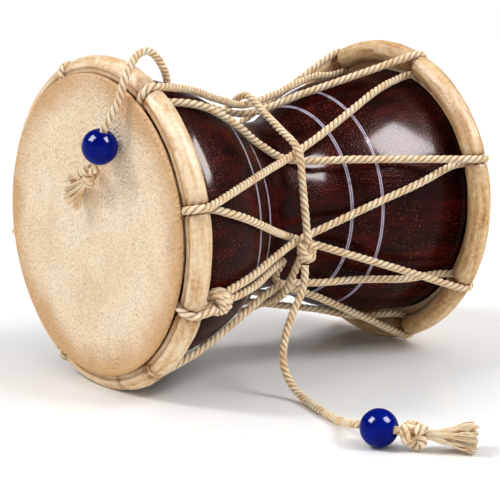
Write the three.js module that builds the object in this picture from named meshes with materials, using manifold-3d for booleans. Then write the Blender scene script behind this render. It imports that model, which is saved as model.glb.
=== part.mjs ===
// A damaru: a small hourglass drum with two skin heads, laced hoop to hoop and drawn in at the waist.
// It lies on its side, resting on both hoops. Millimetres, +Z up, the floor is z = 0.
// The drum's axis runs along X at AXIS_HEIGHT; the front head faces -X.
import * as THREE from 'three';
import { mergeVertices } from 'three/addons/utils/BufferGeometryUtils.js';
import Module from 'manifold-3d';

// ---- driving dimensions ----
const GAP = 0.3;                // clearance kept between neighbouring pieces

const HOOP_X = 82.7;            // centre plane of each hoop, from the middle of the drum
const HOOP_R = 69.5;            // radius of the hoop's centre line
const HOOP_TUBE = 5.35;         // half thickness of the hide-wrapped hoop
const PINCH_TUBE = 2.72;        // half thickness where a lacing loop draws it in
const FLAT_DEPTH = 0.5;         // how far the hide is pressed flat where the drum rests
const AXIS_HEIGHT = HOOP_R + HOOP_TUBE - FLAT_DEPTH;

const FACE_X = 91;              // outer face of each skin
const SKIN = 1.2;               // skin thickness
const RIM_R = 67.4;             // outside of the skin's rolled edge
const RIM_EDGE = 1.2;           // half thickness of the rolled edge
const COLLAR_R = 62.1;          // the skin's short collar over the shell's mouth
const COLLAR_X = 84.5;

const NECK_R = 39.5;            // shell radius at the waist
const FULL_R = 61.2;            // radius that the cups swell towards
const SWELL = 32.5;             // distance from the waist where the swell is half done
const SHELL_END = FACE_X - SKIN - GAP;
const SIDES = 38;               // facets round the shell and the heads
const BORE_R = 24;              // hole through the waist
const BOWL_R = 56.5;            // radius that the hollow cups widen towards
const BOWL_SWELL = 37;

const CORD = 3.6;               // lacing, waist and striker cord diameter
const LOOP_R = PINCH_TUBE + 1.7 * GAP + CORD / 2;   // path of a loop around the pinched hoop
const BEAD_R = 7.9;
const UP = new THREE.Vector3(0, 0, 1);

// Angles round the drum are in degrees from the top, positive towards -Y.
const FRONT_LOOPS = [-22, 31, 77.5, 114, 147, 205, 260];
const BACK_LOOPS = [-25, 21, 72, 123, 162.5, 217, 279];
// Where each crossing of the lacing is gathered: angle, place along the axis, radius of the waist cord.
const NODES = [
  { angle: -4.5, x: -0.5, r: 52 },
  { angle: 52, x: -4.5, r: 50.2 },
  { angle: 101.5, x: -9.5, r: 51 },
  { angle: 132, x: -11, r: 51.4 },
  { angle: 183, x: -6, r: 50.6 },
  { angle: 241, x: -3, r: 50.4 },
  { angle: 305, x: -1, r: 50.5 },
];

// ---- colours and finishes ----
const lacquer = new THREE.MeshStandardMaterial({ name: 'lacquered_wood', color: 0x3a0f0c, roughness: 0.18 });
const rawhide = new THREE.MeshStandardMaterial({ name: 'rawhide', color: 0xdcbf94, roughness: 0.6 });
const hide = new THREE.MeshStandardMaterial({ name: 'hide_wrap', color: 0xd8b888, roughness: 0.55 });
const cotton = new THREE.MeshStandardMaterial({ name: 'cotton_cord', color: 0xdcbb8a, roughness: 0.9 });
const blue = new THREE.MeshStandardMaterial({ name: 'blue_bead', color: 0x0a1280, roughness: 0.08 });

const drum = new THREE.Group();
drum.name = 'damaru';

function add(name, geometry, material) {
  const mesh = new THREE.Mesh(geometry, material);
  mesh.name = name;
  drum.add(mesh);
  return mesh;
}

// A point on the drum: along the axis, round it from the top, and out from the axis.
function at(x, angle, r) {
  const a = THREE.MathUtils.degToRad(angle);
  return new THREE.Vector3(x, -r * Math.sin(a), AXIS_HEIGHT + r * Math.cos(a));
}

// The direction straight out from the axis at an angle.
const outwardAt = (angle) => at(0, angle, 1).sub(at(0, angle, 0));

// Turns a profile of [radius, x] points round the drum's axis.
function turned(profile) {
  const points = profile.map(([r, x]) => new THREE.Vector2(r, x));
  const geometry = new THREE.LatheGeometry(points, SIDES);
  geometry.rotateZ(-Math.PI / 2);
  geometry.translate(0, 0, AXIS_HEIGHT);
  return outward(geometry);
}

// Joins shared corners and turns the faces outwards when the profile ran the other way.
function outward(geometry) {
  const solid = geometry.clone();
  for (const name of Object.keys(solid.attributes)) if (name !== 'position') solid.deleteAttribute(name);
  const joined = mergeVertices(solid, 1e-4);
  const p = joined.attributes.position;
  const index = Array.from(joined.index.array);
  const [a, b, c] = [new THREE.Vector3(), new THREE.Vector3(), new THREE.Vector3()];
  const kept = [];
  let volume = 0;
  for (let i = 0; i < index.length; i += 3) {
    const [ia, ib, ic] = index.slice(i, i + 3);
    if (ia === ib || ib === ic || ic === ia) continue;
    kept.push(ia, ib, ic);
    a.fromBufferAttribute(p, ia);
    b.fromBufferAttribute(p, ib);
    c.fromBufferAttribute(p, ic);
    volume += a.dot(b.cross(c));
  }
  if (volume < 0) for (let i = 0; i < kept.length; i += 3) [kept[i], kept[i + 1]] = [kept[i + 1], kept[i]];
  joined.setIndex(kept);
  joined.computeVertexNormals();
  return joined;
}

// ---- the shell: one hollow hourglass of turned wood, open right through its waist ----
function swell(x, inner, outer, half) {
  const u = (Math.abs(x) / half) ** 3;
  return inner + (outer - inner) * u / (1 + u);
}
const shellRadius = (x) => swell(x, NECK_R, FULL_R, SWELL);
const bowlRadius = (x) => swell(x, BORE_R, BOWL_R, BOWL_SWELL);

const OUTER_STATIONS = [0, 8, 15, 21, 27, 34, 42, 54, 70, SHELL_END];
const INNER_STATIONS = [10, 24, 36, 52, SHELL_END];
const mirrored = (list) => [...list.filter((x) => x > 0).reverse().map((x) => -x), ...list];

function shellProfile() {
  const outside = mirrored(OUTER_STATIONS).map((x) => [shellRadius(x), x]);
  const inside = mirrored(INNER_STATIONS).reverse().map((x) => [bowlRadius(x), x]);
  return [...outside, ...inside, outside[0]];
}
add('shell', turned(shellProfile()), lacquer);

// ---- the heads: a skin stretched over each mouth, with a rolled edge and a short collar ----
function headProfile(side) {
  const edge = [];
  for (let i = 0; i <= 4; i++) {
    const t = Math.PI / 2 - Math.PI * i / 4;
    edge.push([RIM_R - RIM_EDGE + RIM_EDGE * Math.cos(t), FACE_X - RIM_EDGE + RIM_EDGE * Math.sin(t)]);
  }
  const collarInside = shellRadius(SHELL_END) + 1.5 * GAP;
  return [
    [0, FACE_X], ...edge,
    [COLLAR_R, FACE_X - 2 * RIM_EDGE], [COLLAR_R, COLLAR_X], [collarInside, COLLAR_X],
    [collarInside, FACE_X - SKIN], [0, FACE_X - SKIN],
  ].map(([r, x]) => [r, side * x]);
}
add('head_front', turned(headProfile(-1)), rawhide);
add('head_back', turned(headProfile(1)), rawhide);

// ---- the hoops: hide-wrapped rings, drawn in at every loop like a string of sausages ----
const HOOP_SIDES = 8;
const HOOP_STEP = 11;                 // degrees from one ring of corners to the next
const FOOT = 5;                       // half the angle of the flat that the hoop rests on

function hoopStations(loops) {
  const stations = [];
  const order = [...loops].sort((a, b) => a - b);
  const perMm = 180 / Math.PI / HOOP_R;
  order.forEach((angle, i) => {
    const next = i + 1 < order.length ? order[i + 1] : order[0] + 360;
    stations.push([angle - 3.3 * perMm, 0.9 * HOOP_TUBE], [angle - 1.7 * perMm, PINCH_TUBE]);
    stations.push([angle + 1.7 * perMm, PINCH_TUBE], [angle + 3.3 * perMm, 0.9 * HOOP_TUBE]);
    const steps = Math.max(2, Math.round((next - angle) / HOOP_STEP));
    for (let k = 1; k < steps; k++) stations.push([angle + (next - angle) * k / steps, HOOP_TUBE]);
  });
  // one facet is centred on the lowest point, where the hoop stands
  const kept = stations.filter(([angle]) => Math.abs(angle - 180) > 1.8 * FOOT);
  kept.push([180 - FOOT, HOOP_TUBE], [180 + FOOT, HOOP_TUBE]);
  return kept.sort((a, b) => a[0] - b[0]);
}

function hoopGeometry(side, loops) {
  const stations = hoopStations(loops);
  const positions = [];
  const index = [];
  stations.forEach(([angle, tube], i) => {
    for (let j = 0; j < HOOP_SIDES; j++) {
      const t = 2 * Math.PI * (j + 0.5) / HOOP_SIDES;
      const corner = tube / Math.cos(Math.PI / HOOP_SIDES);
      positions.push(...at(side * (HOOP_X + corner * Math.sin(t)), angle, HOOP_R + corner * Math.cos(t)));
      const [i2, j2] = [(i + 1) % stations.length, (j + 1) % HOOP_SIDES];
      const quad = [i, i2, i2, i].map((ring, n) => ring * HOOP_SIDES + (n < 2 ? j : j2));
      index.push(quad[0], quad[1], quad[2], quad[0], quad[2], quad[3]);
    }
  });
  const geometry = new THREE.BufferGeometry();
  geometry.setAttribute('position', new THREE.Float32BufferAttribute(positions, 3));
  geometry.setIndex(index);
  return outward(geometry);
}

const manifold = await Module();
manifold.setup();
const { Manifold, Mesh: ManifoldMesh } = manifold;

function toManifold(geometry) {
  return new Manifold(new ManifoldMesh({
    numProp: 3,
    vertProperties: new Float32Array(geometry.attributes.position.array),
    triVerts: new Uint32Array(geometry.index.array),
  }));
}

// Takes off what lies under the floor, which leaves the flat that the drum rests on.
function pressedFlat(geometry) {
  const under = new THREE.BoxGeometry(400, 400, 20);
  under.translate(0, 0, -10);
  const mesh = toManifold(geometry).subtract(toManifold(outward(under))).getMesh();
  const cut = new THREE.BufferGeometry();
  cut.setAttribute('position', new THREE.Float32BufferAttribute(mesh.vertProperties, 3));
  cut.setIndex(Array.from(mesh.triVerts));
  return outward(cut);
}
add('hoop_front', pressedFlat(hoopGeometry(-1, FRONT_LOOPS)), hide);
add('hoop_back', pressedFlat(hoopGeometry(1, BACK_LOOPS)), hide);

// ---- cords ----
// A route that is walked point by point, so that a cord has one ring of corners at each of its points.
class Route extends THREE.CatmullRomCurve3 {
  constructor(points) { super(points, false, 'centripetal'); }
  getUtoTmapping(u) { return u; }
}

function cordGeometry(points, diameter = CORD, sides = 6) {
  const shape = new THREE.Shape();
  for (let i = 0; i < sides; i++) {
    const t = 2 * Math.PI * i / sides;
    const corner = [diameter / 2 * Math.cos(t), diameter / 2 * Math.sin(t)];
    if (i === 0) shape.moveTo(...corner); else shape.lineTo(...corner);
  }
  shape.closePath();
  const route = new Route(points);
  return outward(new THREE.ExtrudeGeometry(shape, { steps: points.length - 1, extrudePath: route }));
}

// Lifts a point clear of the shell, so that a strand lies on the cup instead of going through it.
const CLEAR = CORD / 2 + GAP + 0.8;
function lifted(p) {
  const out = new THREE.Vector3(0, p.y, p.z - AXIS_HEIGHT);
  const least = shellRadius(p.x) + CLEAR;
  if (out.length() < least) out.setLength(least);
  return new THREE.Vector3(p.x, out.y, out.z + AXIS_HEIGHT);
}

function between(a, b, parts) {
  const list = [];
  for (let i = 1; i < parts; i++) list.push(lifted(a.clone().lerp(b, i / parts)));
  return list;
}

// A loop over one hoop, from its outside round the groove to its inside; t = 0 is straight out.
function loop(side, angle, from, to, steps) {
  const list = [];
  for (let i = 0; i <= steps; i++) {
    const t = THREE.MathUtils.degToRad(from + (to - from) * i / steps);
    list.push(at(side * (HOOP_X + LOOP_R * Math.sin(t)), angle, HOOP_R + LOOP_R * Math.cos(t)));
  }
  return list;
}
const laceLoop = (side, angle) => loop(side, angle, -17, 165, 5);

// The two strands that cross at a gathering lie one over the other, under the waist cord.
function crossing(i, over) {
  const { angle, x, r } = NODES[i];
  return at(x, angle, r - (over ? 1 : 2) * (CORD + 1.7 * GAP));
}

// Stands a piece made along Y at a place, with Y along its length and Z towards its flatter side.
function place(mesh, centre, along, flatTo) {
  const y = along.clone().normalize();
  const z = flatTo.clone().addScaledVector(y, -flatTo.dot(y)).normalize();
  const x = new THREE.Vector3().crossVectors(y, z);
  mesh.quaternion.setFromRotationMatrix(new THREE.Matrix4().makeBasis(x, y, z));
  mesh.position.copy(centre);
}

// ---- the lacing: one cord that zigzags between the hoops and goes twice round the drum ----
const COUNT = FRONT_LOOPS.length;
const TIED = 3;                       // the front loop that is closed by a knot
const KNOT_ANGLE = 112.5;
const KNOT_HALF = 4.9;                // from the middle of the knot to where its cords leave it
const knotAt = at(-68.5, KNOT_ANGLE, 69.3);
const tail = new THREE.Vector3().subVectors(crossing(2, true), knotAt).normalize();
const across = outwardAt(KNOT_ANGLE + 90).multiplyScalar(CORD / 2 + 0.25);

function lacingRoute() {
  // it leaves the knot, slips under the waist cord and goes on to the fifth back loop
  const start = knotAt.clone().add(across).addScaledVector(tail, KNOT_HALF);
  const slip = at(-12.5, 116.5, 43.6);
  const points = [start, ...between(start, slip, 4), slip, crossing(3, false)];
  let side = 1;
  let k = TIED + 1;
  for (let strand = 0; strand < 2 * COUNT - 1; strand++) {
    const loops = side > 0 ? BACK_LOOPS : FRONT_LOOPS;
    const i = k % COUNT;
    const arrive = laceLoop(side, loops[i]);
    points.push(...between(points.at(-1), arrive[0], 3), ...arrive);
    const node = crossing(i, side > 0);
    const inside = lifted(at(side * (HOOP_X - HOOP_TUBE - 2), loops[i], COLLAR_R));
    points.push(inside, ...between(inside, node, 4), node);
    side = -side;
    k += 1;
  }
  const end = knotAt.clone().sub(across).addScaledVector(tail, KNOT_HALF);
  points.push(...between(points.at(-1), end, 3), end);
  return points;
}
add('lacing', cordGeometry(lacingRoute()), cotton);

// the loop under the knot goes right round the hoop and both its legs come back to the knot
function tiedLoop() {
  const ring = loop(-1, FRONT_LOOPS[TIED], -25, 200, 7);
  const legs = [2.2, -2.2].map((up) => {
    const beside = knotAt.clone().addScaledVector(outwardAt(KNOT_ANGLE), up);
    return [-KNOT_HALF, -1.4 * KNOT_HALF].map((back) => beside.clone().addScaledVector(tail, back));
  });
  return [...legs[0], ...ring, ...legs[1].reverse()];
}
add('lacing_loop', cordGeometry(tiedLoop()), cotton);

// A knot seen as turns of cord side by side: a short barrel with a ridge for each turn.
function knot(name, centre, heading, flatTo, length, radius, turns, squash = 1) {
  const points = [new THREE.Vector2(0, -length / 2)];
  for (let i = 0; i <= 2 * turns; i++) {
    const swellOut = Math.sin(Math.PI * (i + 0.6) / (2 * turns + 1.2)) ** 0.4;
    const ridge = i % 2 ? 1 : 0.84;
    const along = -length / 2 + length * (i + 0.3) / (2 * turns + 0.6);
    points.push(new THREE.Vector2(radius * swellOut * ridge, along));
  }
  points.push(new THREE.Vector2(0, length / 2));
  const geometry = new THREE.LatheGeometry(points, 10);
  geometry.scale(1, 1, squash);
  place(add(name, outward(geometry), cotton), centre, heading, flatTo);
}
knot('lacing_knot', knotAt, tail, outwardAt(KNOT_ANGLE), 8, 6.4, 3, 0.85);

// ---- the waist cord: once round the drum over every crossing, and tied at the third ----
const TIE = NODES[2];
const TIE_HALF = 9.5;                 // degrees of waist cord that the knot takes up, either way

function waistRoute() {
  const rest = [...NODES.slice(3), ...NODES.slice(0, 2)];
  const points = [at(TIE.x - 0.6, TIE.angle + TIE_HALF, TIE.r + 0.2)];
  for (const { angle, x, r } of rest) {
    const [before, after] = [at(x, angle - 3, r), at(x, angle + 3, r)];
    points.push(...between(points.at(-1), before, 3), before, after);
  }
  const end = at(TIE.x + 0.6, TIE.angle - TIE_HALF, TIE.r + 0.2);
  return [...points, ...between(points.at(-1), end, 3), end];
}
add('waist_cord', cordGeometry(waistRoute(), CORD, 8), cotton);

const waistKnotAt = at(TIE.x, TIE.angle + 2, TIE.r + 2.2);
knot('waist_knot', waistKnotAt, new THREE.Vector3(-0.25, -0.2, 1), outwardAt(TIE.angle), 12, 5.2, 3, 0.72);

// ---- the strikers: a free cord each, with a bead, a knot and a frayed end ----
function bead(name, centre, direction) {
  const hole = CORD / 2 + GAP;
  const reach = Math.sqrt(BEAD_R ** 2 - (hole + 0.6) ** 2);
  const low = Math.asin(reach / BEAD_R);
  const points = [new THREE.Vector2(hole, -reach)];
  for (let i = 0; i <= 7; i++) {
    const t = -low + 2 * low * i / 7;
    points.push(new THREE.Vector2(BEAD_R * Math.cos(t), BEAD_R * Math.sin(t)));
  }
  points.push(new THREE.Vector2(hole, reach), new THREE.Vector2(hole, -reach));
  place(add(name, outward(new THREE.LatheGeometry(points, 16)), blue), centre, direction, UP);
}

// The frayed end: a bundle that widens into locks, flatter one way than the other.
function tassel(name, root, along, flatTo, length, width, locks) {
  const stations = [[0, 0.34], [0.18, 0.4], [0.45, 0.72], [0.75, 0.98], [1, 0.8]];
  const points = [new THREE.Vector2(0, 0)];
  for (const [s, w] of stations) points.push(new THREE.Vector2(width / 2 * w, length * s));
  points.push(new THREE.Vector2(0, length * 0.93));
  const geometry = new THREE.LatheGeometry(points, 3 * locks);
  const p = geometry.attributes.position;
  for (let i = 0; i < p.count; i++) {
    const [x, y, z] = [p.getX(i), p.getY(i), p.getZ(i)];
    const open = y / length;
    const lock = 1 + 0.16 * open * Math.cos(locks * Math.atan2(z, x));
    p.setXYZ(i, x * lock, y, z * lock * (1 - 0.45 * open));
  }
  place(add(name, outward(geometry), cotton), root, along, flatTo);
}

// The front striker starts behind a lacing strand, arches over the hoop and hangs down the face.
const FRONT_STRIKER = [
  [-67.6, -26.6, 138.6], [-68.8, -27.4, 142], [-71.3, -28, 146], [-74.6, -28.2, 150.1],
  [-79, -28.2, 152.6], [-83.8, -28.3, 151.3], [-88, -29.6, 147.8], [-91, -30.9, 144.4],
  [-93.3, -31.3, 140.6], [-94.3, -30.4, 135.8], [-95.2, -28.6, 130.8], [-97, -26.6, 126],
  [-98.8, -24.6, 121.2], [-99.4, -21.3, 112.3], [-99.6, -18, 103.5], [-99.3, -15.2, 101.2],
  [-98.6, -13, 100.4],
];
const FRONT_BEAD_AT = 13;
// The long striker hangs from the waist knot, reaches the floor and runs out along it.
const LONG_STRIKER = [
  [-12.4, -54.4, 55.2], [-13.4, -55.6, 51], [-15, -56.6, 46.4], [-18, -57.4, 41.6],
  [-21.6, -58.4, 37.4], [-25.6, -59.8, 32.2], [-29, -61.2, 26.9], [-31.4, -62.6, 21.4],
  [-32.6, -64, 15.8], [-32.6, -66, 10.6], [-32.3, -69.6, 6.2], [-32.8, -75.4, 3.3],
  [-34.8, -83.6, 2.1], [-38, -93.4, 2], [-41.2, -104.2, 2.1], [-44.6, -114.6, 2.7],
  [-48.6, -124.6, 4.4], [-52.4, -132.4, 6.6], [-54.7, -138.6, 8.1], [-51.6, -146.9, 8.1],
  [-48.5, -155.2, 8.1], [-46.9, -156.8, 7.3],
];
const LONG_BEAD_AT = 19;
const vectors = (list) => list.map((p) => new THREE.Vector3(...p));
const headingAt = (list, i) => new THREE.Vector3().subVectors(vectors(list)[i + 1], vectors(list)[i - 1]);

const frontRoute = vectors(FRONT_STRIKER);
add('striker_cord_front', cordGeometry(frontRoute, CORD, 8), cotton);
bead('bead_front', frontRoute[FRONT_BEAD_AT], headingAt(FRONT_STRIKER, FRONT_BEAD_AT));
const frontEnd = new THREE.Vector3(0.22, 0.85, -0.45).normalize();
knot('striker_knot_front', frontRoute.at(-1).clone().addScaledVector(frontEnd, 4.4), frontEnd, UP, 8, 5.2, 2);
tassel('tassel_front', new THREE.Vector3(-96.5, -5, 95.6), new THREE.Vector3(0, 0.9, -0.45),
  new THREE.Vector3(1, 0, 0), 21, 13.5, 4);

const longRoute = vectors(LONG_STRIKER);
add('striker_cord_long', cordGeometry(longRoute, CORD, 8), cotton);
bead('bead_long', longRoute[LONG_BEAD_AT], headingAt(LONG_STRIKER, LONG_BEAD_AT));
const longEnd = new THREE.Vector3(0.72, -0.68, -0.05).normalize();
knot('striker_knot_long', longRoute.at(-1).clone().addScaledVector(longEnd, 4.5), longEnd, UP, 8, 6, 2);
tassel('tassel_long', longRoute.at(-1).clone().addScaledVector(longEnd, 8.9), longEnd, UP, 22, 14, 5);

export default drum;
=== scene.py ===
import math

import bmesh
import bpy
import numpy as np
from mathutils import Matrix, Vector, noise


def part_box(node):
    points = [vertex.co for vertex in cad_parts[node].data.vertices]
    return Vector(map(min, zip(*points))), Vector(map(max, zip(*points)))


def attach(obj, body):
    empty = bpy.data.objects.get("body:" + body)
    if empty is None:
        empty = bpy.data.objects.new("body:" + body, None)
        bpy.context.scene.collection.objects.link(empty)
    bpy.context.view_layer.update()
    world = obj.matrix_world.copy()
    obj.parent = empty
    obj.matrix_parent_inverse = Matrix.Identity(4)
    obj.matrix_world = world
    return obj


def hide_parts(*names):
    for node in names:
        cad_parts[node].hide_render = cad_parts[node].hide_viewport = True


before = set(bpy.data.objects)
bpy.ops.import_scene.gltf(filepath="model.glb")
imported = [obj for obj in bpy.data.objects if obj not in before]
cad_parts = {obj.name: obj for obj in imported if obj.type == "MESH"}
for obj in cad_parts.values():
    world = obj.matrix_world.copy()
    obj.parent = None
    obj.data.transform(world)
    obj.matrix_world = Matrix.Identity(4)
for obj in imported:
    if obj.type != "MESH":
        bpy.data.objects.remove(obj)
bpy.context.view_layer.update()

# %% [markdown]
# # A damaru
# A damaru is a small hourglass drum. Two skins are stretched over the mouths of a turned shell, each is held by a
# hoop, and one cord laced from hoop to hoop keeps them tight. A second cord draws the lacing in at the waist. Two
# strikers, which are short cords with a bead, a knot and a frayed end, swing against the skins when the drum is
# turned in the hand. Here the drum lies on its side, so its axis runs along X.

MM = 0.001
low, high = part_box("shell")
AXIS_Z = (low.z + high.z) / 2
SHELL_END = high.x
HOOP_X = sum(corner.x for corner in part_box("hoop_back")) / 2
HOOP_R, HOOP_TUBE, PINCH_TUBE = 69.5 * MM, 5.35 * MM, 2.72 * MM
CORD = 3.6 * MM
GAP = 0.3 * MM
LOOP_R = PINCH_TUBE + 1.7 * GAP + CORD / 2
print(f"axis {AXIS_Z:.4f} m above the floor, hoops at x = +-{HOOP_X:.4f} m")

# %% [markdown]
# ## Camera
# The camera looks slightly down at one head, with the waist going away to the right. A long lens keeps the two
# hoops nearly the same size. The place is worked out from an angle round the drum, an angle above the floor and a
# distance, because these three are easier to judge than a point in space.

# %% Camera
AZIMUTH, ELEVATION, DISTANCE = math.radians(-38.48), math.radians(10.52), 0.832
LOOKED_AT = Vector((-0.0006, 0, 0.053))
back = Vector((math.sin(AZIMUTH) * math.cos(ELEVATION), -math.cos(AZIMUTH) * math.cos(ELEVATION),
               math.sin(ELEVATION)))
camera_data = bpy.data.cameras.new("camera")
camera_data.lens = 125.6
camera_data.sensor_width = 36
camera = bpy.data.objects.new("camera", camera_data)
camera.location = LOOKED_AT + back * DISTANCE
camera.rotation_euler = (-back).to_track_quat("-Z", "Y").to_euler()
bpy.context.scene.collection.objects.link(camera)
bpy.context.scene.camera = camera
print("camera at", [round(c, 3) for c in camera.location])

# %% [markdown]
# ## Shader maths written as Python
# A finish is easier to read as `1 - mask` than as a list of nodes and links. `Value` wraps one output socket and
# turns +, -, * and / into Math nodes. `Nodes` makes every other node with one method, in a material or in the air,
# and `Finish` adds the material. Colours go through Mix nodes, because a Math node would turn them grey.

# %% Value
class Value:
    """One output socket, so that sums on it read as Python."""

    def __init__(self, nodes, socket):
        self.nodes, self.socket = nodes, socket

    def math(self, operation, *numbers):
        return self.nodes.node("ShaderNodeMath", {"operation": operation}, dict(enumerate(numbers)))

    def __add__(self, other):
        return self.math("ADD", self, other)

    def __sub__(self, other):
        return self.math("SUBTRACT", self, other)

    def __rsub__(self, other):
        return self.math("SUBTRACT", other, self)

    def __mul__(self, other):
        return self.math("MULTIPLY", self, other)

    def __truediv__(self, other):
        return self.math("DIVIDE", self, other)

    def __pow__(self, other):
        return self.math("POWER", self, other)

    def __abs__(self):
        return self.math("ABSOLUTE", self)

    def clamped(self):
        return self.math("MAXIMUM", self.math("MINIMUM", self, 1.0), 0.0)

    __radd__, __rmul__ = __add__, __mul__


# %% Nodes
class Nodes:
    """A node tree whose nodes are made one call at a time."""

    def __init__(self, tree):
        self.tree = tree

    def feed(self, node, socket, value):
        if isinstance(value, Value):
            self.tree.links.new(value.socket, node.inputs[socket])
        else:
            node.inputs[socket].default_value = value

    def node(self, kind, settings=None, inputs=None, output=0):
        made = self.tree.nodes.new(kind)
        for key, value in (settings or {}).items():
            if key == "stops":
                while len(made.color_ramp.elements) < len(value):
                    made.color_ramp.elements.new(0.5)
                for element, (position, colour) in zip(made.color_ramp.elements, value):
                    element.position, element.color = position, (*colour, 1)
            else:
                setattr(made, key, value)
        for socket, value in (inputs or {}).items():
            self.feed(made, socket, value)
        return Value(self, made.outputs[output])

    def place(self, kind="Object", scale=(1, 1, 1), centre=(0, 0, 0)):
        source = self.node("ShaderNodeTexCoord", output=kind)
        return self.node("ShaderNodeMapping", None, {"Vector": source, "Scale": scale,
                                                     "Location": [-c * s for c, s in zip(centre, scale)]})

    def split(self, vector):
        parts = self.node("ShaderNodeSeparateXYZ", None, {0: vector})
        outputs = parts.socket.node.outputs
        return [Value(self, outputs[i]) for i in range(3)]

    def noise(self, vector, scale, detail=2.0, roughness=0.5, output="Fac"):
        return self.node("ShaderNodeTexNoise", None, {"Vector": vector, "Scale": scale, "Detail": detail,
                                                      "Roughness": roughness}, output)

    def cells(self, vector, scale, output="Distance", **settings):
        return self.node("ShaderNodeTexVoronoi", settings, {"Vector": vector, "Scale": scale}, output)

    def attribute(self, name):
        return self.node("ShaderNodeAttribute", {"attribute_name": name}, None, "Fac")

    def between(self, value, start, end):
        """0 below start, 1 above end, with a smooth step from one to the other."""
        return self.node("ShaderNodeMapRange", {"interpolation_type": "SMOOTHSTEP"},
                         {"Value": value, "From Min": start, "From Max": end})


# %% Finish
class Finish(Nodes):
    """A material, with what mixes its colours and shapes its surface."""

    def __init__(self, name, **constants):
        self.material = bpy.data.materials.new(name)
        self.material.use_nodes = True
        super().__init__(self.material.node_tree)
        self.surface = self.tree.nodes["Principled BSDF"]
        for socket, value in constants.items():
            self.surface.inputs[socket.replace("_", " ").title().replace("Ior", "IOR")].default_value = value

    def ramp(self, value, *stops):
        return self.node("ShaderNodeValToRGB", {"stops": stops}, {0: value})

    def mix(self, factor, first, second, blend="MIX"):
        colours = {6: first, 7: second}
        colours = {k: (*v, 1) if isinstance(v, tuple) else v for k, v in colours.items()}
        return self.node("ShaderNodeMix", {"data_type": "RGBA", "blend_type": blend}, {0: factor, **colours}, 2)

    def bump(self, height, distance, strength=1.0, under=None):
        extra = {"Normal": under} if under else {}
        return self.node("ShaderNodeBump", None, {"Height": height, "Distance": distance, "Strength": strength,
                                                  **extra})

    def wear(self, **inputs):
        for socket, value in inputs.items():
            self.feed(self.surface, socket.replace("_", " ").title(), value)
        return self.material


print("shader helpers ready")

# %% [markdown]
# ## Cotton cord
# All the cord on the drum is the same soft three-strand cotton, faded to straw. Its strands are real shapes here, so
# the finish only adds the fine yarns that run along each strand, painted shade that darkens the hollows between the
# strands, and a little unevenness from handling. The patterns follow the cord, so they read the piece's own map, whose
# first axis goes round the cord and whose second runs along it in metres.

# %% Cotton finish
def cotton_finish(name, tint=(1, 1, 1)):
    cotton = Finish(name, roughness=0.8, specular_ior_level=0.05)
    on_cord = cotton.place("UV", scale=(26, 420, 1))
    yarns = cotton.noise(on_cord, 1.0, detail=3.0, roughness=0.6)
    blotches = cotton.noise(cotton.place(), 190.0, detail=4.0)
    hollow = cotton.attribute("hollow")
    straw = cotton.ramp(blotches * 0.55 + yarns * 0.45,
                        (0.30, (0.54, 0.31, 0.13)), (0.43, (0.90, 0.63, 0.36)), (0.56, (1.0, 0.84, 0.60)))
    dyed = cotton.mix(1.0, straw, tint, "MULTIPLY")
    # Painted shade: the hollows between strands, and the middle locks of a tassel, are darkened towards deep brown.
    shaded = cotton.mix(hollow * 0.85, dyed, (0.21, 0.085, 0.026))
    return cotton.wear(base_color=shaded, normal=cotton.bump(yarns, 0.5 * MM, 0.7))


cotton = cotton_finish("cotton_cord")
print("cotton finish made")

# %% [markdown]
# ## How a twisted cord is made
# A cord could be a plain tube with a painted twist, but its outline would be smooth and the light would not break on
# the strands. So a flat grid is rolled up: each of its rows becomes one ring of the cord, the ring has a lobe for
# each strand, and every ring is turned a little further than the last. The grid's columns then run along the
# strands, and its own map follows them.

# %% Routes in space
def centripetal(points, fine):
    """Points close together on a smooth curve that goes through all of the given ones."""
    p = np.array(points, float)
    p = np.vstack([2 * p[0] - p[1], p, 2 * p[-1] - p[-2]])
    found = []
    for a, b, c, d in zip(p, p[1:], p[2:], p[3:]):
        knots = np.cumsum([0] + [max(np.linalg.norm(v) ** 0.5, 1e-6) for v in (b - a, c - b, d - c)])
        t = np.linspace(knots[1], knots[2], max(2, int(np.linalg.norm(c - b) / fine) + 1), endpoint=False)[:, None]

        def blend(u, v, start, end):
            return (u * (end - t) + v * (t - start)) / (end - start)

        ab, bc, cd = (blend(u, v, knots[i], knots[i + 1]) for i, (u, v) in enumerate(((a, b), (b, c), (c, d))))
        found.append(blend(blend(ab, bc, knots[0], knots[2]), blend(bc, cd, knots[1], knots[3]),
                           knots[1], knots[2]))
    return np.vstack([*found, p[-2]])


def spaced(points, step):
    """The same curve with its points an even step apart, and each one's distance along it."""
    run = np.concatenate([[0], np.cumsum(np.linalg.norm(np.diff(points, axis=0), axis=1))])
    along = np.linspace(0, run[-1], max(3, int(round(run[-1] / step)) + 1))
    return np.stack([np.interp(along, run, points[:, i]) for i in range(3)], 1), along


def carried_frames(route):
    """A side and an upper direction at each point, carried along without a sudden turn."""
    heading = np.gradient(route, axis=0)
    heading /= np.linalg.norm(heading, axis=1)[:, None]
    side = np.empty_like(route)
    last = np.cross(heading[0], (0.31, 0.42, 0.85))
    for i, h in enumerate(heading):
        last = last - h * (last @ h)
        last /= np.linalg.norm(last)
        side[i] = last
    return side, np.cross(heading, side)


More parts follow.
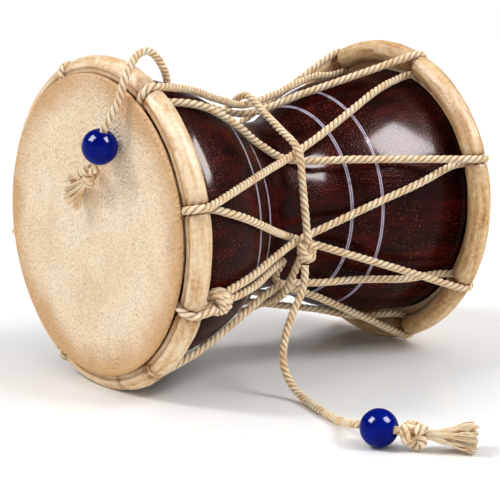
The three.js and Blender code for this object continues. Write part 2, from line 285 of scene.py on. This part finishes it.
# %% A grid rolled into a tube
def roll(bm, rings, lengths=None, closed=False, marks=None):
    """Adds a grid to bm and bends it so that its rows become the rings, then returns its vertices row by row."""
    stations, around = rings.shape[:2]
    rows = stations + 1 if closed else stations
    uv = bm.loops.layers.uv.verify()
    # Each vertex keeps an amount of painted shade, which the finishes darken the colour by.
    mark = bm.verts.layers.float.get("hollow") or bm.verts.layers.float.new("hollow")
    made = bmesh.ops.create_grid(bm, x_segments=around, y_segments=rows - 1, size=1, calc_uvs=True)["verts"]
    place = np.take(np.take(rings, range(rows), axis=0, mode="wrap"), range(around + 1), axis=1, mode="wrap")
    for vert, point in zip(made, place.reshape(-1, 3)):
        vert.co = point
    if marks is not None:
        shade = np.take(np.take(marks, range(rows), axis=0, mode="wrap"), range(around + 1), axis=1, mode="wrap")
        for vert, value in zip(made, shade.ravel()):
            vert[mark] = value
    total = 1.0 if lengths is None else lengths[-1]
    for face in {f for v in made for f in v.link_faces}:
        for loop in face.loops:
            loop[uv].uv.y *= total
    return made


def finished(bm, name, material, body="root"):
    """Closes the mesh's seams and ends, makes it an object and rides it on its body."""
    bmesh.ops.remove_doubles(bm, verts=bm.verts, dist=1e-6)
    bmesh.ops.holes_fill(bm, edges=[e for e in bm.edges if e.is_boundary], sides=0)
    bmesh.ops.recalc_face_normals(bm, faces=bm.faces)
    mesh = bpy.data.meshes.new(name)
    bm.to_mesh(mesh)
    bm.free()
    mesh.polygons.foreach_set("use_smooth", [True] * len(mesh.polygons))
    mesh.materials.append(material)
    piece = bpy.data.objects.new(name, mesh)
    bpy.context.scene.collection.objects.link(piece)
    print(f"{name}: {sum(len(p.vertices) - 2 for p in mesh.polygons)} triangles")
    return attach(piece, body)


# %% Twisted cord
STRANDS, PER_STRAND = 3, 5
lobe = np.abs((np.arange(STRANDS * PER_STRAND) / PER_STRAND) % 1 - 0.5) * 2      # 0 on a strand's crown, 1 between two


def twisted(bm, points, pitch, radius=CORD / 2, fine=0.6 * MM, depth=0.27, seed=0.0):
    """Rolls one twisted cord along the points; pitch is the run of one whole turn, a number or one for each end."""
    route, along = spaced(centripetal(points, fine / 2), fine)
    side, upper = carried_frames(route)
    pitches = np.interp(along, [0, along[-1]], pitch if np.ndim(pitch) else [pitch, pitch])
    turn = np.cumsum(2 * math.pi * np.gradient(along) / pitches)
    uneven = np.array([noise.noise(Vector((s / (5 * MM), seed, 0.3))) for s in along])
    angle = -turn[:, None] + 2 * math.pi * np.arange(len(lobe)) / len(lobe)
    reach = radius * (1 + 0.05 * uneven[:, None]) * (1 - depth * lobe ** 3)
    rings = route[:, None] + reach[..., None] * (np.cos(angle)[..., None] * side[:, None]
                                                 + np.sin(angle)[..., None] * upper[:, None])
    # The hollows between the strands are marked for painted shade.
    roll(bm, rings, along, marks=np.broadcast_to(lobe ** 3.5, reach.shape))
    return route, along[-1]


# %% [markdown]
# ## The routes of the cords
# The lacing is one cord that goes over one hoop, across the waist and over the other hoop, twice round the drum.
# Each place is given by how far it is along the axis, an angle from the top and a distance from the axis, so the
# route reads like directions for lacing the drum. The free cords have their points written out one by one, because
# they hang and lie as they like.

# %% Places on the drum
FRONT_LOOPS = [-22, 31, 77.5, 114, 147, 205, 260]
BACK_LOOPS = [-25, 21, 72, 123, 162.5, 217, 279]
NODES = [(-4.5, -0.5, 52), (52, -4.5, 50.2), (101.5, -9.5, 51), (132, -11, 51.4), (183, -6, 50.6),
         (241, -3, 50.4), (305, -1, 50.5)]          # angle, place along the axis in mm, radius in mm
COUNT, TIED, TIE = 7, 3, 2
BURIED = FRONT_LOOPS[4]          # here the swollen hide has closed over the cord


def at(x, angle, r):
    a = math.radians(angle)
    return np.array((x, -r * math.sin(a), AXIS_Z + r * math.cos(a)))


def outward_at(angle):
    return at(0, angle, 1) - at(0, angle, 0)


def unit(v):
    return np.array(v, float) / np.linalg.norm(v)


def swell(x, inner, outer, half):
    u = (abs(x) / half) ** 3
    return inner + (outer - inner) * u / (1 + u)


def shell_radius(x):
    past = x + 68 * MM          # the front cup was left a little fuller than the back one
    fuller = 5.6 * MM * math.exp(-(past / ((32 if past > 0 else 10) * MM)) ** 2)
    return swell(x, 39.5 * MM, 61.2 * MM, 32.5 * MM) + fuller * (x < 0)


def lifted(p):
    out = np.array((0, p[1], p[2] - AXIS_Z))
    least = shell_radius(p[0]) + CORD / 2 + GAP + 0.8 * MM
    if np.linalg.norm(out) < least:
        out = unit(out) * least
    return np.array((p[0], out[1], out[2] + AXIS_Z))


def between(a, b, parts):
    return [lifted(a + (b - a) * i / parts) for i in range(1, parts)]


def loop(side, angle, start, end, steps):
    r = LOOP_R - (2.0 * MM if side < 0 and angle == BURIED else 0)
    turns = (math.radians(start + (end - start) * i / steps) for i in range(steps + 1))
    return [at(side * (HOOP_X + r * math.sin(t)), angle, HOOP_R + r * math.cos(t)) for t in turns]


def crossing(i, over):
    angle, x, r = NODES[i]
    return at(x * MM, angle, r * MM - (1 if over else 2) * (CORD + 1.7 * GAP))


# %% The lacing's route
KNOT_ANGLE, KNOT_HALF = 112.5, 4.9 * MM
knot_at = at(-68.5 * MM, KNOT_ANGLE, 69.3 * MM)
tail = unit(crossing(2, True) - knot_at)
across = outward_at(KNOT_ANGLE + 90) * (CORD / 2 + 0.25 * MM)


def lacing_route():
    start = knot_at + across + tail * KNOT_HALF
    slip = at(-12.5 * MM, 116.5, 43.6 * MM)
    points = [start, *between(start, slip, 4), slip, crossing(3, False)]
    side = 1
    for strand in range(2 * COUNT - 1):
        i = (TIED + 1 + strand) % COUNT
        angle = (BACK_LOOPS if side > 0 else FRONT_LOOPS)[i]
        arrive = loop(side, angle, -17, 165, 5)
        node = crossing(i, side > 0)
        inside = lifted(at(side * (HOOP_X - HOOP_TUBE - 2 * MM), angle, 62.1 * MM))
        points += [*between(points[-1], arrive[0], 3), *arrive, inside, *between(inside, node, 4), node]
        side = -side
    end = knot_at - across + tail * KNOT_HALF
    return [*points, *between(points[-1], end, 3), end]


def tied_loop():
    legs = [[knot_at + outward_at(KNOT_ANGLE) * up - tail * back for back in (KNOT_HALF, 1.4 * KNOT_HALF)]
            for up in (2.2 * MM, -2.2 * MM)]
    return [*legs[0], *loop(-1, FRONT_LOOPS[TIED], -25, 200, 7), *legs[1][::-1]]


def waist_route():
    angle, x, r = NODES[TIE]
    points = [at((x - 0.8) * MM, angle + 3, (r + 2.4) * MM), at((x - 0.6) * MM, angle + 9.5, (r + 0.2) * MM)]
    for node_angle, node_x, node_r in NODES[3:] + NODES[:2]:
        before, after = (at(node_x * MM, node_angle + d, node_r * MM) for d in (-3, 3))
        points += [*between(points[-1], before, 3), before, after]
    end = at((x + 0.6) * MM, angle - 9.5, (r + 0.2) * MM)
    return [*points, *between(points[-1], end, 3), end, at(x * MM, angle - 2, (r + 2.8) * MM),
            at((x + 0.4) * MM, angle + 3, (r + 3.4) * MM)]


lacing_points = lacing_route()
print(f"lacing goes through {len(lacing_points)} points, the waist cord through {len(waist_route())}")

# %% The strikers' routes, in millimetres
FRONT_STRIKER = np.array([
    (-67.6, -26.6, 138.6), (-68.8, -27.4, 142), (-71.3, -28, 146), (-74.6, -28.2, 150.1),
    (-79, -28.2, 152.6), (-83.8, -28.3, 151.3), (-88, -29.6, 147.8), (-91, -30.9, 144.4),
    (-93.3, -31.3, 140.6), (-94.3, -30.4, 135.8), (-95.2, -28.6, 130.8), (-97, -26.6, 126),
    (-98.8, -24.6, 121.2), (-99.4, -21.3, 112.3), (-99.6, -18, 103.5), (-99.3, -15.2, 101.2),
    (-98.6, -13, 100.4)]) * MM
LONG_STRIKER = np.array([
    (-12.4, -54.4, 55.2), (-13.4, -55.6, 51), (-15, -56.6, 46.4), (-18, -57.4, 41.6),
    (-21.6, -58.4, 37.4), (-25.6, -59.8, 32.2), (-29, -61.2, 26.9), (-31.4, -62.6, 21.4),
    (-32.6, -64, 15.8), (-32.6, -66, 10.6), (-32.3, -69.6, 6.2), (-32.8, -75.4, 3.3),
    (-34.8, -83.6, 2.1), (-38, -93.4, 2), (-41.2, -104.2, 2.1), (-44.6, -114.6, 2.7),
    (-48.6, -124.6, 4.4), (-52.4, -132.4, 6.6), (-54.7, -138.6, 8.1), (-51.6, -146.9, 8.1),
    (-48.5, -155.2, 8.1), (-46.9, -156.8, 7.3)]) * MM
FRONT_BEAD_AT, LONG_BEAD_AT = 13, 19
front_end = unit((0.22, 0.85, -0.45))
long_end = unit((0.72, -0.68, -0.05))

# %% The held cords
def cord_piece(name, points, pitch, node, **options):
    bm = bmesh.new()
    route, length = twisted(bm, points, pitch, **options)
    piece = finished(bm, name, cotton)
    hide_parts(node)
    print(f"{name}: {length * 1000:.0f} mm of cord")
    return piece, route


cord_piece("lacing_rope", lacing_points, 9.5 * MM, "lacing", seed=1.0)
cord_piece("tied_loop_rope", tied_loop(), 11 * MM, "lacing_loop", seed=2.0)
cord_piece("waist_rope", waist_route(), 9 * MM, "waist_cord", seed=3.0)

# %% The free cords
front_rope, front_path = cord_piece("front_striker_rope", FRONT_STRIKER, (5.6 * MM, 13 * MM),
                                    "striker_cord_front", seed=4.0)
long_rope, long_path = cord_piece("long_striker_rope", LONG_STRIKER, 8.4 * MM, "striker_cord_long", seed=5.0)

# %% [markdown]
# ## Knots
# A knot is cord too, so it is the same twisted cord on a knotted route rather than a lump. The end knots are
# overhand knots, whose route is a trefoil. The lacing is closed by a few turns wound round its two tails, and the
# waist cord by a larger knot over the crossing.

# %% Knots
def basis(heading, flat_to):
    """Across, along and towards the flatter side, for a piece that is made along its second axis."""
    y = unit(heading)
    z = unit(np.array(flat_to, float) - y * (np.array(flat_to, float) @ y))
    return np.stack([np.cross(y, z), y, z], 1)


UP = (0, 0, 1)


def overhand(centre, heading, flat_to, across_r, along_r, turn=0.0):
    t = np.linspace(0.35, 2 * math.pi + 0.2, 46) + turn
    x, z, y = np.sin(t) + 2 * np.sin(2 * t), np.cos(t) - 2 * np.cos(2 * t), -np.sin(3 * t)
    local = np.stack([x * across_r / 3, y * along_r, z * across_r / 3], 1)
    return centre + local @ basis(heading, flat_to).T


def wound(centre, heading, flat_to, radius, length, turns, squash=1.0, lean=0.0):
    t = np.linspace(0, 1, int(turns * 14))
    a = 2 * math.pi * turns * t
    y = (t - 0.5) * length + lean * np.cos(a)
    r = radius * (1 - 0.16 * np.abs(2 * t - 1) ** 3)
    local = np.stack([r * np.cos(a), y, r * np.sin(a) * squash], 1)
    return centre + local @ basis(heading, flat_to).T


def knot_piece(name, routes, node, radius=CORD / 2, pitch=8 * MM):
    bm = bmesh.new()
    for number, points in enumerate(routes):
        twisted(bm, points, pitch, radius=radius, fine=0.5 * MM, seed=7.0 + number)
    piece = finished(bm, name, cotton)
    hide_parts(node)
    return piece


tie_angle, tie_x, tie_r = NODES[TIE]
waist_knot_at = at(tie_x * MM, tie_angle + 2, (tie_r + 2.2) * MM)
waist_along = unit((-0.25, -0.2, 1))
knot_piece("lacing_knot_turns", [
    wound(knot_at, tail, outward_at(KNOT_ANGLE), 4.8 * MM, 6.2 * MM, 2.7, 0.85, 1.0 * MM),
    wound(knot_at + tail * 1.2 * MM, tail + 0.5 * unit(across), outward_at(KNOT_ANGLE), 3.6 * MM, 1.5 * MM, 1.1, 1.0,
          1.6 * MM)], "lacing_knot", 1.75 * MM)
knot_piece("waist_knot_turns", [
    overhand(waist_knot_at, waist_along, outward_at(tie_angle), 3.6 * MM, 2.2 * MM, 0.4),
    wound(waist_knot_at - waist_along * 3.6 * MM, waist_along, outward_at(tie_angle), 3.0 * MM, 1.6 * MM, 1.6, 0.9)],
    "waist_knot", 1.7 * MM)
front_knot_at = FRONT_STRIKER[-1] + front_end * 4.4 * MM
long_knot_at = LONG_STRIKER[-1] + long_end * 4.5 * MM
front_knot = knot_piece("front_end_knot", [
    overhand(front_knot_at, front_end, UP, 3.7 * MM, 2.3 * MM),
    wound(front_knot_at - front_end * 3.6 * MM, front_end, UP, 2.2 * MM, 1.2 * MM, 1.4)],
    "striker_knot_front", 1.85 * MM)
long_knot = knot_piece("long_end_knot", [
    overhand(long_knot_at, long_end, UP, 4.4 * MM, 2.7 * MM, 0.6),
    wound(long_knot_at - long_end * 3.9 * MM, long_end, UP, 2.4 * MM, 1.4 * MM, 1.4)],
    "striker_knot_long", 2.1 * MM)

# %% [markdown]
# ## Frayed ends
# Past its knot each striker is unlaid and its strands have opened into locks of yarn. A lock is a thin flattened
# tube that starts in the knot and wanders as it spreads. There are few enough of them to model one by one, each
# with its own bend, and the seed is fixed so that they fall the same way each time.

# %% Tassels
def tassel_piece(name, root, heading, flat_to, length, width, count, thick, flat, seed, node):
    rng = np.random.default_rng(seed)
    turn = basis(heading, flat_to)
    bm = bmesh.new()
    around = 6
    for _ in range(count):
        spread = rng.uniform(0, 2 * math.pi)
        out = math.sqrt(rng.uniform(0.02, 1))
        reach = length * rng.uniform(0.82, 1.0)
        t = np.linspace(0, 1, 12)
        open_up = t ** 1.25
        bend = rng.normal(0, 0.055, 4)
        x = width / 2 * out * math.cos(spread) * (0.2 + 0.8 * open_up) + length * bend[0] * np.sin(5 * t) * t
        z = flat * (width / 2 * out * math.sin(spread) * (0.22 + 0.78 * open_up)
                    + length * bend[1] * np.sin(6 * t) * t)
        route = root + np.stack([x, reach * (t - 0.04), z], 1) @ turn.T
        if route[:, 2].min() < thick:
            route[:, 2] = np.maximum(route[:, 2], thick)
        side, upper = carried_frames(route)
        girth = thick * rng.uniform(0.7, 1.25) * (1 - 0.3 * t ** 4) * (0.7 + 0.3 * t)
        angle = 2 * math.pi * np.arange(around) / around + rng.uniform(0, 3) + t[:, None] * rng.uniform(-3, 3)
        rings = route[:, None] + girth[:, None, None] * (1.25 * np.cos(angle)[..., None] * side[:, None]
                                                         + 0.62 * np.sin(angle)[..., None] * upper[:, None])
        rings[..., 2] = np.maximum(rings[..., 2], 0.1 * MM)
        # The locks near the middle of the tuft are marked for painted shade, as if the outer locks shaded them.
        marks = np.clip(1 - out, 0, 1) * 0.5 * np.ones(angle.shape)
        roll(bm, rings, np.array([0, reach]), marks=marks)
    piece = finished(bm, name, cotton)
    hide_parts(node)
    return piece


front_tassel = tassel_piece("front_tassel", np.array((-96.5, -5, 95.6)) * MM, (0, 0.9, -0.45), (1, 0, 0),
                            16.5 * MM, 16.5 * MM, 54, 0.7 * MM, 0.6, 11, "tassel_front")
long_tassel = tassel_piece("long_tassel", LONG_STRIKER[-1] + long_end * 8.9 * MM, long_end, UP,
                           21 * MM, 16.5 * MM, 96, 0.85 * MM, 0.75, 5, "tassel_long")

# %% [markdown]
# ## Beads
# Each striker carries a round blue glass bead. Its profile is a half circle that runs into the bore, and spinning it
# round the cord gives the bead. The bead is polished, so a thin clear coat lies over a deep blue, with a faint cloud
# in the colour.

# %% Bead finish and shape
glass = Finish("blue_bead", roughness=0.12, specular_ior_level=0.03, coat_weight=0.075, coat_roughness=0.05,
               coat_ior=1.45)
cloud = glass.noise(glass.place(), 160.0, detail=3.0)
glass.wear(base_color=glass.ramp(cloud, (0.35, (0.0008, 0.005, 0.14)), (0.7, (0.0016, 0.010, 0.23))))
BEAD_R, HOLE_R = 7.9 * MM, CORD / 2 + GAP


def bead_piece(name, centre, heading, node):
    bm = bmesh.new()
    reach = math.sqrt(BEAD_R ** 2 - (HOLE_R + 0.6 * MM) ** 2)
    top = math.asin(reach / BEAD_R)
    lip = [(HOLE_R, -reach + 0.5 * MM), (HOLE_R + 0.12 * MM, -reach + 0.12 * MM)]
    arc = [(BEAD_R * math.cos(t), BEAD_R * math.sin(t)) for t in np.linspace(-top, top, 29)]
    profile = [*lip, *arc, *((r, -y) for r, y in lip[::-1])]
    turn = basis(heading, UP)
    verts = [bm.verts.new(centre + turn @ np.array((r, y, 0))) for r, y in profile]
    edges = [bm.edges.new(pair) for pair in zip(verts, verts[1:] + verts[:1])]
    bmesh.ops.spin(bm, geom=verts + edges, cent=centre, axis=turn[:, 1], dvec=(0, 0, 0), angle=2 * math.pi,
                   steps=56, use_merge=True)
    piece = finished(bm, name, glass.material)
    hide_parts(node)
    return piece


def heading_at(route, i):
    return route[i + 1] - route[i - 1]


front_bead = bead_piece("front_bead", FRONT_STRIKER[FRONT_BEAD_AT], heading_at(FRONT_STRIKER, FRONT_BEAD_AT),
                        "bead_front")
long_bead = bead_piece("long_bead", LONG_STRIKER[LONG_BEAD_AT], heading_at(LONG_STRIKER, LONG_BEAD_AT), "bead_long")

# %% [markdown]
# ## The shell
# The shell is turned from one block of hardwood, hollowed from both ends and lacquered a very dark mahogany. A
# profile spun round the axis makes it, as the lathe does. Pairs of fine pale lines were cut and filled while it was
# still turning, two on each cup.

# %% Shell shape
shell_bm = bmesh.new()
x_out = np.linspace(-SHELL_END, SHELL_END, 121)
x_in = np.linspace(SHELL_END, -SHELL_END, 61)
profile = [(x, shell_radius(x)) for x in x_out] + [(x, swell(x, 24 * MM, 56.5 * MM, 37 * MM)) for x in x_in]
verts = [shell_bm.verts.new((x, 0, AXIS_Z + r)) for x, r in profile]
edges = [shell_bm.edges.new(pair) for pair in zip(verts, verts[1:] + verts[:1])]
bmesh.ops.spin(shell_bm, geom=verts + edges, cent=(0, 0, AXIS_Z), axis=(1, 0, 0), dvec=(0, 0, 0),
               angle=2 * math.pi, steps=144, use_merge=True)

# %% Lacquer
lacquer = Finish("lacquered_wood", roughness=0.33, specular_ior_level=0.022, specular_tint=(1, 0.36, 0.30, 1),
                 coat_weight=0.125, coat_roughness=0.15, coat_ior=1.5)
on_shell = lacquer.place()
x, _, _ = lacquer.split(on_shell)
grain = lacquer.noise(lacquer.place(scale=(20, 150, 150), centre=(0, 0, AXIS_Z)), 1.0, detail=4.0, roughness=0.6)
wood = lacquer.ramp(grain, (0.34, (0.006, 0.0009, 0.0008)), (0.54, (0.026, 0.0020, 0.0012)),
                    (0.76, (0.078, 0.0060, 0.0024)))
# Each band is two fine cuts with a duller strip between them.
lines = 0.0
for middle in (23.7, 36.8, -28.1, -38.3):
    off = abs(x - middle * MM)
    lines = lines + (1 - lacquer.between(abs(off - 0.44 * MM), 0.12 * MM, 0.30 * MM)) * 0.9
    lines = lines + (1 - lacquer.between(off, 0.40 * MM, 0.60 * MM)) * 0.35
rubbed = lacquer.between(lacquer.noise(on_shell, 300.0, detail=3.0), 0.28, 0.44)
peel = lacquer.cells(on_shell, 1050.0, feature="SMOOTH_F1")
# The specks bump the lacquer, and in patches they are also painted in as bright red-orange glints.
dust_and_glint_cells = lacquer.cells(on_shell, 800.0)
glint = 1 - lacquer.between(dust_and_glint_cells, 0.07, 0.19)
patchy = lacquer.between(lacquer.noise(on_shell, 45.0, detail=2.0), 0.36, 0.56)
wood_with_painted_glints = lacquer.mix(glint * patchy * 0.85, wood, (0.70, 0.24, 0.12))
surface = lacquer.bump(peel, 0.30 * MM, 1.0, under=lacquer.bump(glint, 0.45 * MM, 1.0))
lacquer.wear(base_color=lacquer.mix((lines.clamped() * (rubbed * 0.45 + 0.55)).clamped(), wood_with_painted_glints,
                                    (0.52, 0.47, 0.60)), normal=surface)
shell = finished(shell_bm, "turned_shell", lacquer.material)
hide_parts("shell")

# %% [markdown]
# ## The skins
# Each head is a goat skin put on wet over the mouth, with a rolled edge at the rim and a short collar down the
# outside of the shell. The profile is spun round the axis and the face is then pushed in and out by a fraction of a
# millimetre, because a dried skin is never quite flat. The fine grain and the pores are in the finish.

# %% Rawhide finish
def rawhide_finish(name):
    hide = Finish(name, roughness=0.55, specular_ior_level=0.08)
    spot = hide.place(centre=(0, 0, AXIS_Z))
    _, y, z = hide.split(spot)
    radius = (y * y + z * z) ** 0.5
    clouds = hide.noise(spot, 24.0, detail=5.0, roughness=0.62)
    cream = hide.ramp(clouds, (0.30, (0.84, 0.62, 0.40)), (0.5, (0.98, 0.79, 0.57)), (0.70, (1.0, 0.89, 0.71)))
    # Handling and the hoop's oil have browned the skin towards its rim.
    edge = hide.between(radius + (clouds - 0.5) * 40 * MM, 51 * MM, 68 * MM)
    browned = hide.mix(edge * 0.85, cream, (0.64, 0.34, 0.125))
    pebble = hide.cells(spot, 820.0, feature="SMOOTH_F1")
    grit = hide.between(hide.noise(spot, 1150.0, detail=3.0, roughness=0.75), 0.30, 0.62)
    pores = 1 - hide.between(hide.cells(spot, 640.0), 0.12, 0.30)
    patchy = hide.between(hide.noise(spot, 70.0, detail=3.0), 0.34, 0.60)
    sandy = hide.mix((1 - grit) * 0.50, browned, (0.58, 0.37, 0.18))
    freckled = hide.mix(pores * (0.25 + patchy * 0.45), sandy, (0.44, 0.22, 0.08))
    height = hide.bump(1 - pebble, 1.0 * MM, 1.0, under=hide.bump(1 - pores, 0.25 * MM, 0.6))
    return hide.wear(base_color=freckled, normal=height)


rawhide = rawhide_finish("rawhide")

# %% Skin shape
FACE_X, SKIN, RIM_R, RIM_EDGE, COLLAR_R, COLLAR_X = (v * MM for v in (91, 1.2, 67.4, 1.2, 62.1, 84.5))


def skin_piece(name, side, node):
    bm = bmesh.new()
    inside = shell_radius(SHELL_END) + 1.5 * GAP
    face = [(r, FACE_X) for r in np.linspace(0, RIM_R - 2.2 * RIM_EDGE, 34)]
    edge = [(RIM_R - RIM_EDGE + RIM_EDGE * math.cos(t), FACE_X - RIM_EDGE + RIM_EDGE * math.sin(t))
            for t in np.linspace(math.pi / 2, -math.pi / 2, 13)]
    rest = [(COLLAR_R + 1.0 * MM, FACE_X - 2 * RIM_EDGE), (COLLAR_R, FACE_X - 2.5 * RIM_EDGE), (COLLAR_R, COLLAR_X),
            (inside, COLLAR_X), (inside, FACE_X - SKIN), (0, FACE_X - SKIN)]
    outline = [bm.verts.new((side * x, 0, AXIS_Z + r)) for r, x in [*face, *edge, *rest]]
    edges = [bm.edges.new(pair) for pair in zip(outline, outline[1:])]
    bmesh.ops.spin(bm, geom=outline + edges, cent=(0, 0, AXIS_Z), axis=(1, 0, 0), dvec=(0, 0, 0),
                   angle=2 * math.pi, steps=120, use_merge=True)
    for vert in bm.verts:
        r = math.hypot(vert.co.y, vert.co.z - AXIS_Z)
        if r < RIM_R - 2 * RIM_EDGE:
            sink = noise.noise(Vector((side * 3.1, vert.co.y * 32, vert.co.z * 32)))
            vert.co.x += side * 0.35 * MM * (sink - 0.4) * min(1, (RIM_R - r) / (12 * MM))
    piece = finished(bm, name, rawhide)
    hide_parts(node)
    return piece


skin_piece("front_skin", -1, "head_front")
skin_piece("back_skin", 1, "head_back")

# %% [markdown]
# ## The hoops
# Each hoop is a ring wrapped in soft hide. The lacing bites into it at every loop, so the hide swells between the
# loops like a string of sausages and folds into small pleats beside each cord. A grid rolled into a ring gives a
# tube whose thickness can change from place to place, and its map runs round and along the roll.

# %% Hide finish
def hide_finish(name, top, mid, low_colour):
    hide = Finish(name, roughness=0.42, specular_ior_level=0.12)
    spot = hide.place()
    mottle = hide.noise(spot, 55.0, detail=6.0, roughness=0.66)
    fine = hide.noise(spot, 520.0, detail=4.0, roughness=0.65)
    streaks = hide.noise(hide.place("UV", scale=(11, 38, 1)), 1.0, detail=5.0, roughness=0.65)
    colour = hide.ramp(mottle * 0.3 + fine * 0.25 + streaks * 0.45, (0.36, low_colour), (0.45, mid), (0.56, top))
    # Painted shade: pleats by each cord, the groove along the hoop and the side tucked towards the shell turn deep
    # brown.
    hoop_painted_shade = hide.attribute("hollow")
    shaded = hide.mix((hoop_painted_shade * 1.15).clamped() * 0.9, colour, (0.24, 0.10, 0.028))
    pebble = hide.cells(spot, 700.0, feature="SMOOTH_F1")
    height = hide.bump(1 - pebble, 0.20 * MM, 0.6, under=hide.bump(streaks, 1.2 * MM, 0.6))
    return hide.wear(base_color=shaded, normal=height)


front_hide = hide_finish("front_wrap", (0.92, 0.73, 0.49), (0.74, 0.475, 0.24), (0.42, 0.19, 0.06))
back_hide = hide_finish("back_wrap", (0.88, 0.64, 0.37), (0.64, 0.38, 0.165), (0.33, 0.14, 0.042))

# %% Hoop shape
def hoop_piece(name, side, loops, creases, node, seed, finish):
    stations, around = 880, 32
    angle = np.arange(stations) * 360 / stations
    perimeter = 2 * math.pi * HOOP_R
    tube = np.full(stations, 1.0)
    pleat = np.zeros(stations)
    for place in loops:
        s = np.abs((angle - place + 180) % 360 - 180) / 360 * perimeter
        rise = np.clip((s - 1.2 * MM) / (2.4 * MM), 0, 1)
        rounded = np.sqrt(1 - (1 - rise) ** 2.2)
        swollen = 0.04 * np.exp(-((s - 5.5 * MM) / (2.6 * MM)) ** 2)
        if side < 0 and place == BURIED:
            rounded = 1 - 0.22 * np.exp(-(s / (0.8 * MM)) ** 2)
        tube = np.minimum(tube, PINCH_TUBE / HOOP_TUBE + (1 - PINCH_TUBE / HOOP_TUBE) * rounded) + swollen
        pleat = np.maximum(pleat, np.exp(-np.clip(s - 2.0 * MM, 0, 1) / (2.6 * MM)))
    for place in creases:
        s = np.abs((angle - place + 180) % 360 - 180) / 360 * perimeter
        tube *= 1 - 0.16 * np.exp(-(s / (0.9 * MM)) ** 2)
        pleat = np.maximum(pleat, 0.9 * np.exp(-s / (1.2 * MM)))
    phi = 2 * math.pi * np.arange(around) / around
    lumps = np.array([[noise.noise(Vector((3.2 * math.cos(p), 3.2 * math.sin(p),
                                           a * perimeter / 360 / (9 * MM) + seed))) for p in phi] for a in angle])
    folds = np.abs(np.sin(4.5 * phi[None, :] + 2.1 * np.sin(angle[:, None] * 0.37)))
    ridge = np.exp(-((phi - math.radians(112)) / 0.16) ** 2)[None, :]
    valley = np.exp(-((phi - math.radians(92)) / 0.10) ** 2)[None, :]
    reach = HOOP_TUBE * tube[:, None] + lumps * 0.28 * MM - folds * pleat[:, None] * 0.30 * MM
    reach = reach + (ridge * 0.35 - valley * 0.30) * MM
    a = np.radians(angle)[:, None]
    r = HOOP_R + reach * np.cos(phi)
    rings = np.stack([side * (HOOP_X + reach * np.sin(phi)), -r * np.sin(a), AXIS_Z + r * np.cos(a)], 2)
    rings[..., 2] = np.maximum(rings[..., 2], 0.0)
    # Painted shade for the finish: in the pleats beside each loop, in the groove and on the side tucked towards the
    # shell.
    underside_shade = 0.55 * np.clip(-np.cos(phi), 0, 1) ** 0.7 + 0.25 * np.clip(-np.sin(phi), 0, 1) ** 3
    marks = np.clip(pleat[:, None] * (0.35 + 0.65 * folds) * 0.8 + valley * 0.7 + underside_shade * (0.8 + 0.8 * lumps), 0, 1)
    bm = bmesh.new()
    roll(bm, rings, np.array([0, perimeter]), closed=True, marks=marks)
    piece = finished(bm, name, finish)
    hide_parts(node)
    return piece


hoop_piece("front_hoop_wrap", -1, FRONT_LOOPS, [167], "hoop_front", 0.0, front_hide)
hoop_piece("back_hoop_wrap", 1, BACK_LOOPS, [], "hoop_back", 40.0, back_hide)

# %% [markdown]
# ## Floor, light and air
# The drum lies on a white glossy table that mirrors it faintly. One set of lamps could do everything, but what lights
# pale hide well leaves the dark lacquer milky. So three suns light the surfaces and aren't seen in reflections: a
# broad one overhead, and a narrower one to the left and to the right. Two square windows do the opposite. They show
# only in reflections, so the lacquer has two soft highlights. The air is bright low down, which runs the table on into
# white, and nearly dark higher up, which keeps the rest of the lacquer dark.

# %% Floor
floor_bm = bmesh.new()
bmesh.ops.create_grid(floor_bm, x_segments=1, y_segments=1, size=12)
floor_mesh = bpy.data.meshes.new("floor")
floor_bm.to_mesh(floor_mesh)
floor_bm.free()
floor = bpy.data.objects.new("floor", floor_mesh)
bpy.context.scene.collection.objects.link(floor)
table = Finish("white_table", roughness=0.05, ior=1.09, base_color=(0.90, 0.90, 0.90, 1))
floor_mesh.materials.append(table.material)

# %% Lights
def aimed(name, kind, azimuth, elevation, distance=1.0, **settings):
    """A light that shines on the drum from an angle round it and an angle above the floor."""
    a, e = math.radians(azimuth), math.radians(elevation)
    toward = Vector((math.sin(a) * math.cos(e), -math.cos(a) * math.cos(e), math.sin(e)))
    data = bpy.data.lights.new(name, kind)
    for key, value in settings.items():
        setattr(data, key, value)
    lamp = bpy.data.objects.new(name, data)
    lamp.location = Vector((0, 0, AXIS_Z)) + toward * distance
    lamp.rotation_euler = (-toward).to_track_quat("-Z", "Y").to_euler()
    bpy.context.scene.collection.objects.link(lamp)
    return lamp


for name, azimuth, elevation, spread, strength in (("overhead", 0, 90, 120, 2.1), ("left_key", -124, 46, 13, 1.15),
                                                   ("right_fill", 27, 46, 20, 1.15)):
    aimed(name, "SUN", azimuth, elevation, energy=strength, angle=math.radians(spread)).visible_glossy = False
for name, azimuth, elevation in (("left_window", -106, 47), ("right_window", 27, 46)):
    aimed(name, "AREA", azimuth, elevation, 1.3, size=0.70, energy=150).visible_diffuse = False

# %% Surroundings
world = bpy.data.worlds.new("studio")
world.use_nodes = True
air = Nodes(world.node_tree)
height = air.split(air.node("ShaderNodeTexCoord", output="Generated"))[2]
band = air.node("ShaderNodeMapRange", None, {"Value": height, "From Min": 0.17, "From Max": 0.30,
                                             "To Min": 0.95, "To Max": 0.015})
background = world.node_tree.nodes["Background"]
air.feed(background, "Strength", band)
air.feed(background, "Color", (1, 1, 1, 1))
bpy.context.scene.world = world
bpy.context.scene.view_settings.view_transform = "Standard"
